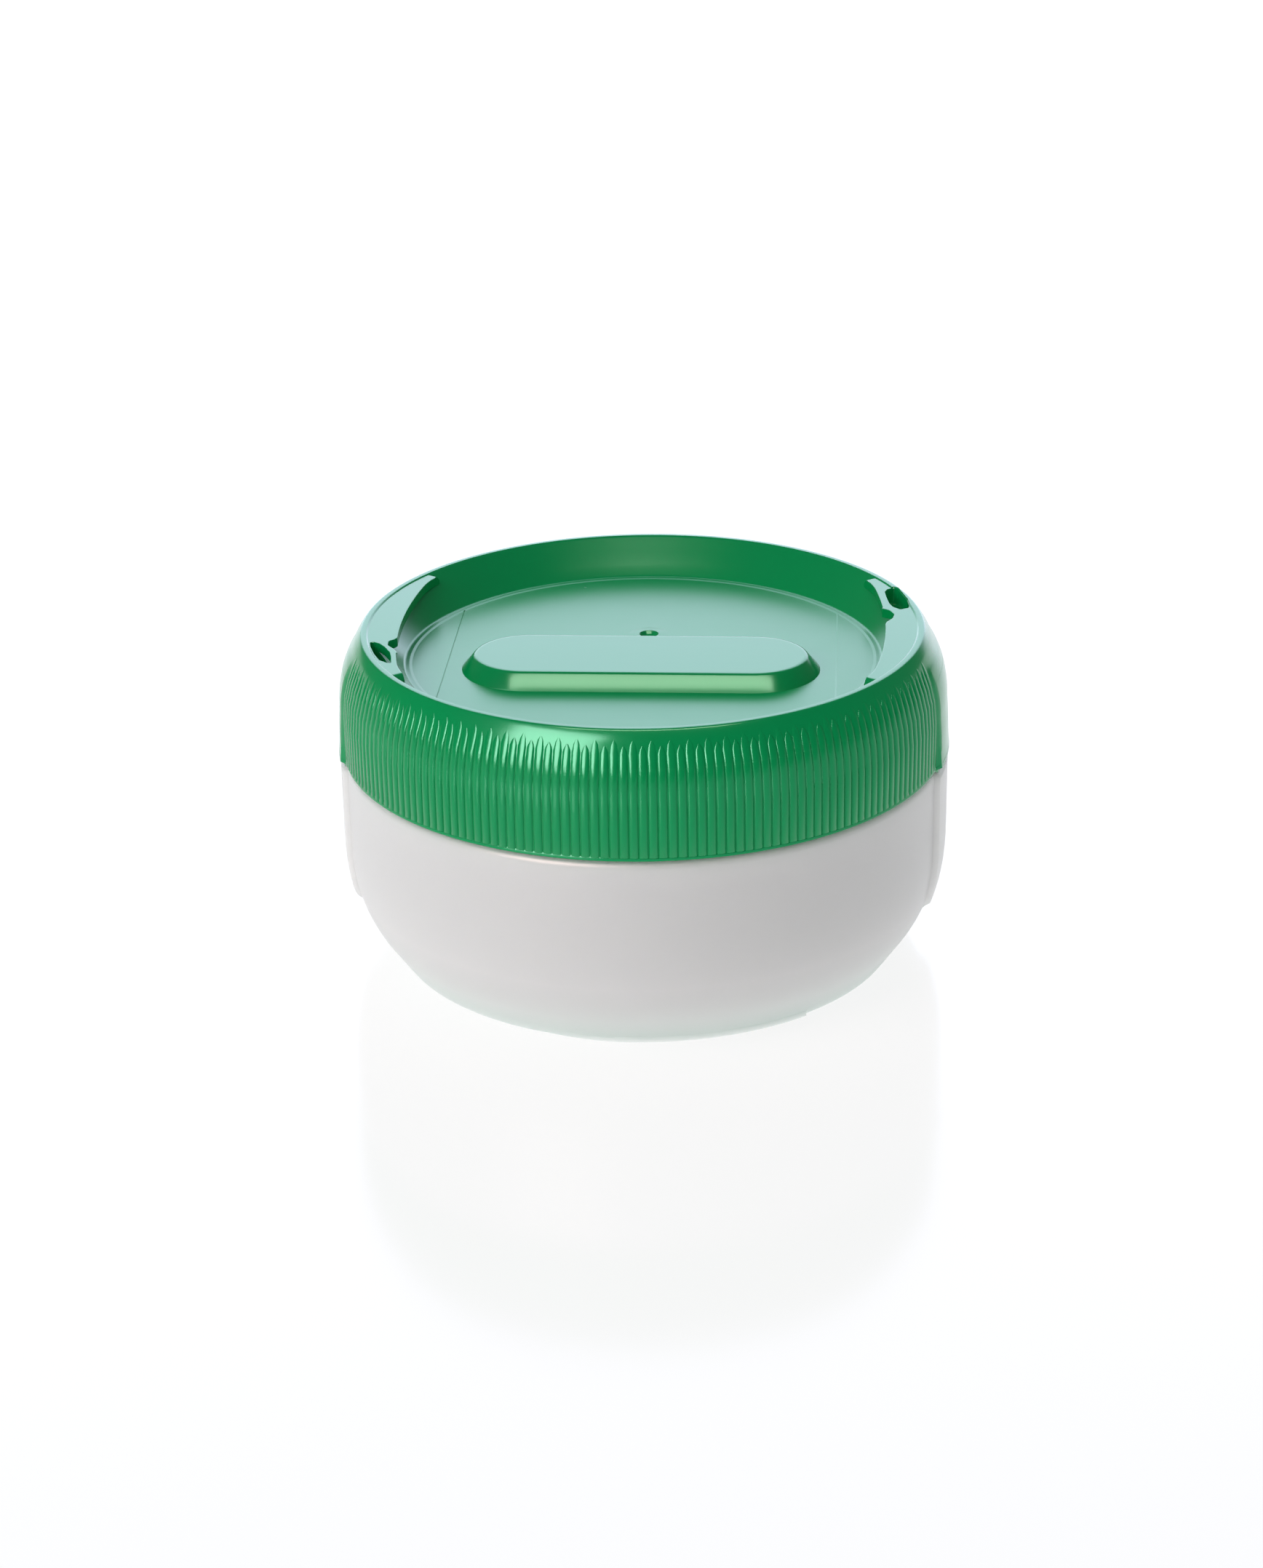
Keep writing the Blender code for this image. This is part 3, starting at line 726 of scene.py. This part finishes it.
def stadium(offset, steps=24):
    centre = bar["halfLength"] - bar["halfWidth"]
    radius = bar["halfWidth"] + offset
    line = []
    for side, start in ((1, -math.pi / 2), (-1, math.pi / 2)):
        for step in range(steps + 1):
            angle = start + math.pi * step / steps
            line.append(Vector((side * centre + radius * math.cos(angle), bar["y"] + radius * math.sin(angle))))
    return line


def makeBar():
    base, high = lid["panel"], lid["panel"] + bar["height"]
    soft, run = bar["softTop"], bar["chamfer"]
    section = [(0.14, base - 0.4), (0.14, base + 0.02), (0.0, base + 0.2),
               (-run + soft * 1.6, high - soft * 1.1), (-run + soft * 0.6, high - soft * 0.35),
               (-run - soft * 0.5, high), (-run - soft * 2, high)]
    return stacked("panelBar", [(stadium(offset), height) for offset, height in section], green)


def roundTool(name, section, centre, sides=48):
    def ring(radius):
        return [Vector((centre[0] + radius * math.cos(2 * math.pi * i / sides),
                        centre[1] + radius * math.sin(2 * math.pi * i / sides))) for i in range(sides)]
    return stacked(name, [(ring(radius), height) for radius, height in section], green)


def makeGateHalo():
    rise = [(gate["halo"] + 0.5, lid["panel"] - 0.4)]
    for i in range(7):
        share = i / 6
        rise.append((gate["halo"] * (1 - 0.45 * share), lid["panel"] - 0.004 + gate["haloHeight"]
                     * share * share * (3 - 2 * share)))
    return roundTool("gateHalo", rise, gate["place"])


def makeGateCutter():
    top = lid["panel"] + gate["haloHeight"]
    radius, depth = gate["radius"], gate["depth"]
    section = [(0.25, top - depth), (0.7, top - depth * 0.96), (1.05, top - depth * 0.8), (1.3, top - depth * 0.5),
               (radius - 0.05, top - 0.12), (radius + 0.12, top + 0.02), (radius + 0.3, top + 0.6)]
    return roundTool("gateCutter", section, gate["place"])


def witnessStrip(side):
    # a fine groove on the left, and on the right a fine raised line
    x, width, reach = witness["x"] * side, witness["width"], witness["reach"]

    def strip(half):
        return [Vector((x - half, -reach)), Vector((x + half, -reach)), Vector((x + half, reach)),
                Vector((x - half, reach))]

    if side > 0:
        rise = [(strip(width), lid["panel"] - 0.3), (strip(width * 0.9), lid["panel"] + 0.006),
                (strip(width * 0.4), lid["panel"] + witness["depth"] * 0.5)]
    else:
        rise = [(strip(width * 0.15), lid["panel"] - witness["depth"]),
                (strip(width * 0.5 + 0.06), lid["panel"] + 0.05)]
    return stacked("witnessLine", rise, green)


def makeLid():
    plain = lidProfile()
    obj = turned("greenLid", plain, green, lid["steps"], lidPad(plain), None, {
        "Pad Radius": lid["sideRadius"] * mm, "Pad Half Width": lid["padHalfWidth"] * mm,
        "Pad Edge": lid["padEdge"] * mm, "Pad Corner": 1.4 * mm, "Pad Foot": -0.05})
    joined = [makeSeat(1), makeSeat(-1), makeBar(), makeGateHalo(), witnessStrip(1)]
    cut = [slotCutter(1), slotCutter(-1), makeGateCutter(), witnessStrip(-1)]
    for tool in joined:
        cutOrJoin(obj, outward(tool), "UNION")
    for tool in cut:
        cutOrJoin(obj, outward(tool), "DIFFERENCE")
    smoothShade(obj, 30)
    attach(obj, "lid")
    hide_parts("lid")
    inside = threadRidges("lidThread", lid["skirtInside"] - 0.1,
                          thread["neckFoot"] - 2 * thread["wire"] - thread["clearance"], green, "lid")
    return obj


# grip ribs

ribs = {"around": 208, "perHalf": 87, "width": 1.38, "power": 2.2, "long": 53.0, "short": 52.3, "foot": 34.82,
        "sink": 0.18}


def makeRibTree():
    tree, given, result = newTree("ribRow", {"Per Half": "Int", "Pitch": "Float", "First Angle": "Float",
                                             "Finish": "Material"})
    count = calc(tree, "MULTIPLY", given["Per Half"], 2.0)
    points = addNode(tree, "GeometryNodeMeshLine", {"Count": count, "Offset": (0.0, 0.0, 0.0)})
    index = addNode(tree, "GeometryNodeInputIndex").outputs[0]
    half = calc(tree, "FLOOR", calc(tree, "DIVIDE", calc(tree, "ADD", index, 0.5), given["Per Half"]))
    step = calc(tree, "SUBTRACT", index, calc(tree, "MULTIPLY", half, given["Per Half"]))
    angle = calc(tree, "ADD", calc(tree, "ADD", given["First Angle"], calc(tree, "MULTIPLY", step, given["Pitch"])),
                 calc(tree, "MULTIPLY", half, math.pi))
    spin = addNode(tree, "ShaderNodeCombineXYZ", {"Z": angle})
    copies = addNode(tree, "GeometryNodeInstanceOnPoints", {
        "Points": points.outputs[0], "Instance": given["Geometry"],
        "Rotation": addNode(tree, "FunctionNodeEulerToRotation", {"Euler": spin.outputs[0]}).outputs[0]})
    whole = addNode(tree, "GeometryNodeRealizeInstances", {"Geometry": copies.outputs[0]})
    finished = addNode(tree, "GeometryNodeSetMaterial", {"Geometry": whole.outputs[0], "Material": given["Finish"]})
    tree.links.new(finished.outputs[0], result["Geometry"])
    return tree


def oneRib(name, top):
    # one rib at +X, as a closed strip that follows the side of the lid
    heights = [ribs["foot"], ribs["foot"] + 0.14, 43.0, 46.6, 49.3, 51.2, top - 0.6, top]
    half = ribs["width"] / 2
    shares = [-1.0, -0.86, -0.5, 0.0, 0.5, 0.86, 1.0]
    points, faces = [], []
    for height in heights:
        crest, square = sidePoint(height)
        depth = ribDepth(height)
        narrow = math.sqrt(between(top + 0.03 - height, 0.0, 1.4))
        footEase = 0.35 + 0.65 * between(height, ribs["foot"], ribs["foot"] + 0.14)
        rise = max(depth, 0.02) * footEase
        for share in shares:
            bulge = rise * (1 - abs(share) ** ribs["power"]) ** (1 / ribs["power"]) - depth
            spot = crest + square * bulge
            points.append((spot.x, half * narrow * share, spot.y))
        for share in (0.8, -0.8):
            spot = crest - square * (depth + ribs["sink"])
            points.append((spot.x, half * narrow * share, spot.y))
    around = len(shares) + 2
    for level in range(len(heights) - 1):
        for place in range(around):
            other = (place + 1) % around
            low, high = level * around, (level + 1) * around
            faces.append((low + place, low + other, high + other, high + place))
    faces.append(tuple(reversed(range(around))))
    faces.append(tuple(range((len(heights) - 1) * around, len(heights) * around)))
    return outward(meshObject(name, points, faces=faces))


def makeRibs():
    tree = makeRibTree()
    pitch = 2 * math.pi / ribs["around"]
    first = math.pi / 2 - pitch * (ribs["perHalf"] - 1) / 2
    longCount = (ribs["perHalf"] + 1) // 2
    rows = [("ribsLong", ribs["long"], longCount, first), ("ribsShort", ribs["short"], ribs["perHalf"] - longCount,
                                                           first + pitch)]
    for name, top, count, start in rows:
        row = oneRib(name, top)
        grow(row, tree, {"Per Half": count, "Pitch": 2 * pitch, "First Angle": start, "Finish": green})
        smoothShade(row, 60)
        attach(row, "lid")


makeLid()
makeRibs()
print("lid made")


# stage: floor, soft light, camera

stage = {"floorSize": 6.0, "floorColour": (0.20, 0.20, 0.20), "floorRoughness": 0.14, "floorGlow": 0.79,
         "floorShine": 1.2}


def makeFloor():
    size = stage["floorSize"] / 2
    mesh = bpy.data.meshes.new("floor")
    mesh.from_pydata([(-size, -size, -0.00005), (size, -size, -0.00005), (size, size, -0.00005),
                      (-size, size, -0.00005)], [], [(0, 1, 2, 3)])
    floor = bpy.data.objects.new("floor", mesh)
    parts.objects.link(floor)
    material, tree, shader = newMaterial("paleFloor")
    shader.inputs["Base Color"].default_value = (*stage["floorColour"], 1.0)
    shader.inputs["Roughness"].default_value = stage["floorRoughness"]
    shader.inputs["IOR"].default_value = stage["floorShine"]
    shader.inputs["Emission Color"].default_value = (1.0, 1.0, 1.0, 1.0)
    shader.inputs["Emission Strength"].default_value = stage["floorGlow"]
    mesh.materials.append(material)


room = {
    "frontLeft": (0.44, 0.44, 0.43), "frontRight": (0.27, 0.27, 0.265), "behind": (0.80, 0.84, 0.88),
    "frontShine": (0.12, 0.12, 0.12), "behindShine": (2.7, 2.85, 3.55),
    "paleHalfWidth": (0.36, 0.62), "paleTop": (0.62, 0.85),  # where the pale backdrop starts and ends its fade
}


def makeWorld():
    # soft light all round; what shines back is a pale backdrop behind and a dim room in front
    world = bpy.data.worlds.new("softStudio")
    bpy.context.scene.world = world
    world.use_nodes = True
    tree = world.node_tree
    background = tree.nodes["Background"]
    direction = addNode(tree, "ShaderNodeSeparateXYZ", {
        "Vector": addNode(tree, "ShaderNodeTexCoord").outputs["Generated"]}).outputs
    aside = calc(tree, "ABSOLUTE", calc(tree, "ARCTAN2", direction["X"], direction["Y"]))
    behind = ramp(tree, aside, 1.0, 0.0, *room["paleHalfWidth"])
    low = ramp(tree, direction["Z"], 1.0, 0.0, *room["paleTop"])
    pale = calc(tree, "MULTIPLY", behind, low)
    rays = addNode(tree, "ShaderNodeLightPath").outputs
    around = ramp(tree, direction["Y"], 0.0, 1.0, 0.0, 0.7)
    across = ramp(tree, direction["X"], 0.0, 1.0, -0.7, 0.7)
    front = tint(tree, across, room["frontLeft"], room["frontRight"])
    soft = blend(tree, around, front, (*room["behind"], 1.0))
    shine = tint(tree, pale, room["frontShine"], room["behindShine"])
    light = blend(tree, rays["Is Glossy Ray"], soft, shine)
    feed(tree, background.inputs["Color"], blend(tree, rays["Is Camera Ray"], light, (1.0, 1.0, 1.0, 1.0)))
    background.inputs["Strength"].default_value = 1.0


def softBox(name, azimuth, elevation, distance, width, height, brightness, colour=(1, 1, 1), seen="both"):
    # azimuth runs from the front, towards +X
    a, e = math.radians(azimuth), math.radians(elevation)
    aim = Vector((math.sin(a) * math.cos(e), -math.cos(a) * math.cos(e), math.sin(e)))
    data = bpy.data.lights.new(name, "AREA")
    data.shape = "RECTANGLE"
    data.size, data.size_y = width, height
    data.energy = brightness * math.pi * width * height
    data.color = colour
    lamp = bpy.data.objects.new(name, data)
    lamp.location = Vector((0, 0, 0.04)) + aim * distance
    lamp.rotation_euler = aim.to_track_quat("Z", "Y").to_euler()
    lamp.visible_camera = False
    lamp.visible_diffuse = seen != "shine"
    lamp.visible_glossy = seen != "matt"
    parts.objects.link(lamp)
    return lamp


def makeLights():
    softBox("leftKey", -52, 38, 1.5, 1.0, 1.0, 2.5, seen="matt")
    softBox("overheadBox", 4, 66, 1.3, 1.15, 0.34, 19, (1.0, 0.60, 0.50), "shine")
    softBox("leftBox", -33, 25, 1.4, 0.80, 0.95, 20, (1.0, 0.75, 0.70), "shine")


view = {"distance": 550.0, "elevation": 23.589, "azimuth": 3.8, "aimHeight": 20.0, "roll": -0.8467,
        "lens": 75.86, "shift": (-0.00874, 0.02200)}


def makeCamera():
    e, a = math.radians(view["elevation"]), math.radians(view["azimuth"])
    away = Vector((math.cos(e) * math.sin(a), -math.cos(e) * math.cos(a), math.sin(e)))
    data = bpy.data.cameras.new("camera")
    data.sensor_fit = "VERTICAL"
    data.sensor_height = 36.0
    data.lens = view["lens"]
    data.shift_x, data.shift_y = view["shift"]
    data.clip_start = 0.01
    camera = bpy.data.objects.new("camera", data)
    camera.location = (Vector((0, 0, view["aimHeight"])) + away * view["distance"]) * mm
    turn = away.to_track_quat("Z", "Y") @ Euler((0, 0, math.radians(view["roll"]))).to_quaternion()
    camera.rotation_euler = turn.to_euler()
    parts.objects.link(camera)
    bpy.context.scene.camera = camera


makeFloor()
makeWorld()
makeLights()
makeCamera()
bpy.context.scene.view_settings.view_transform = "Standard"
print("stage made")
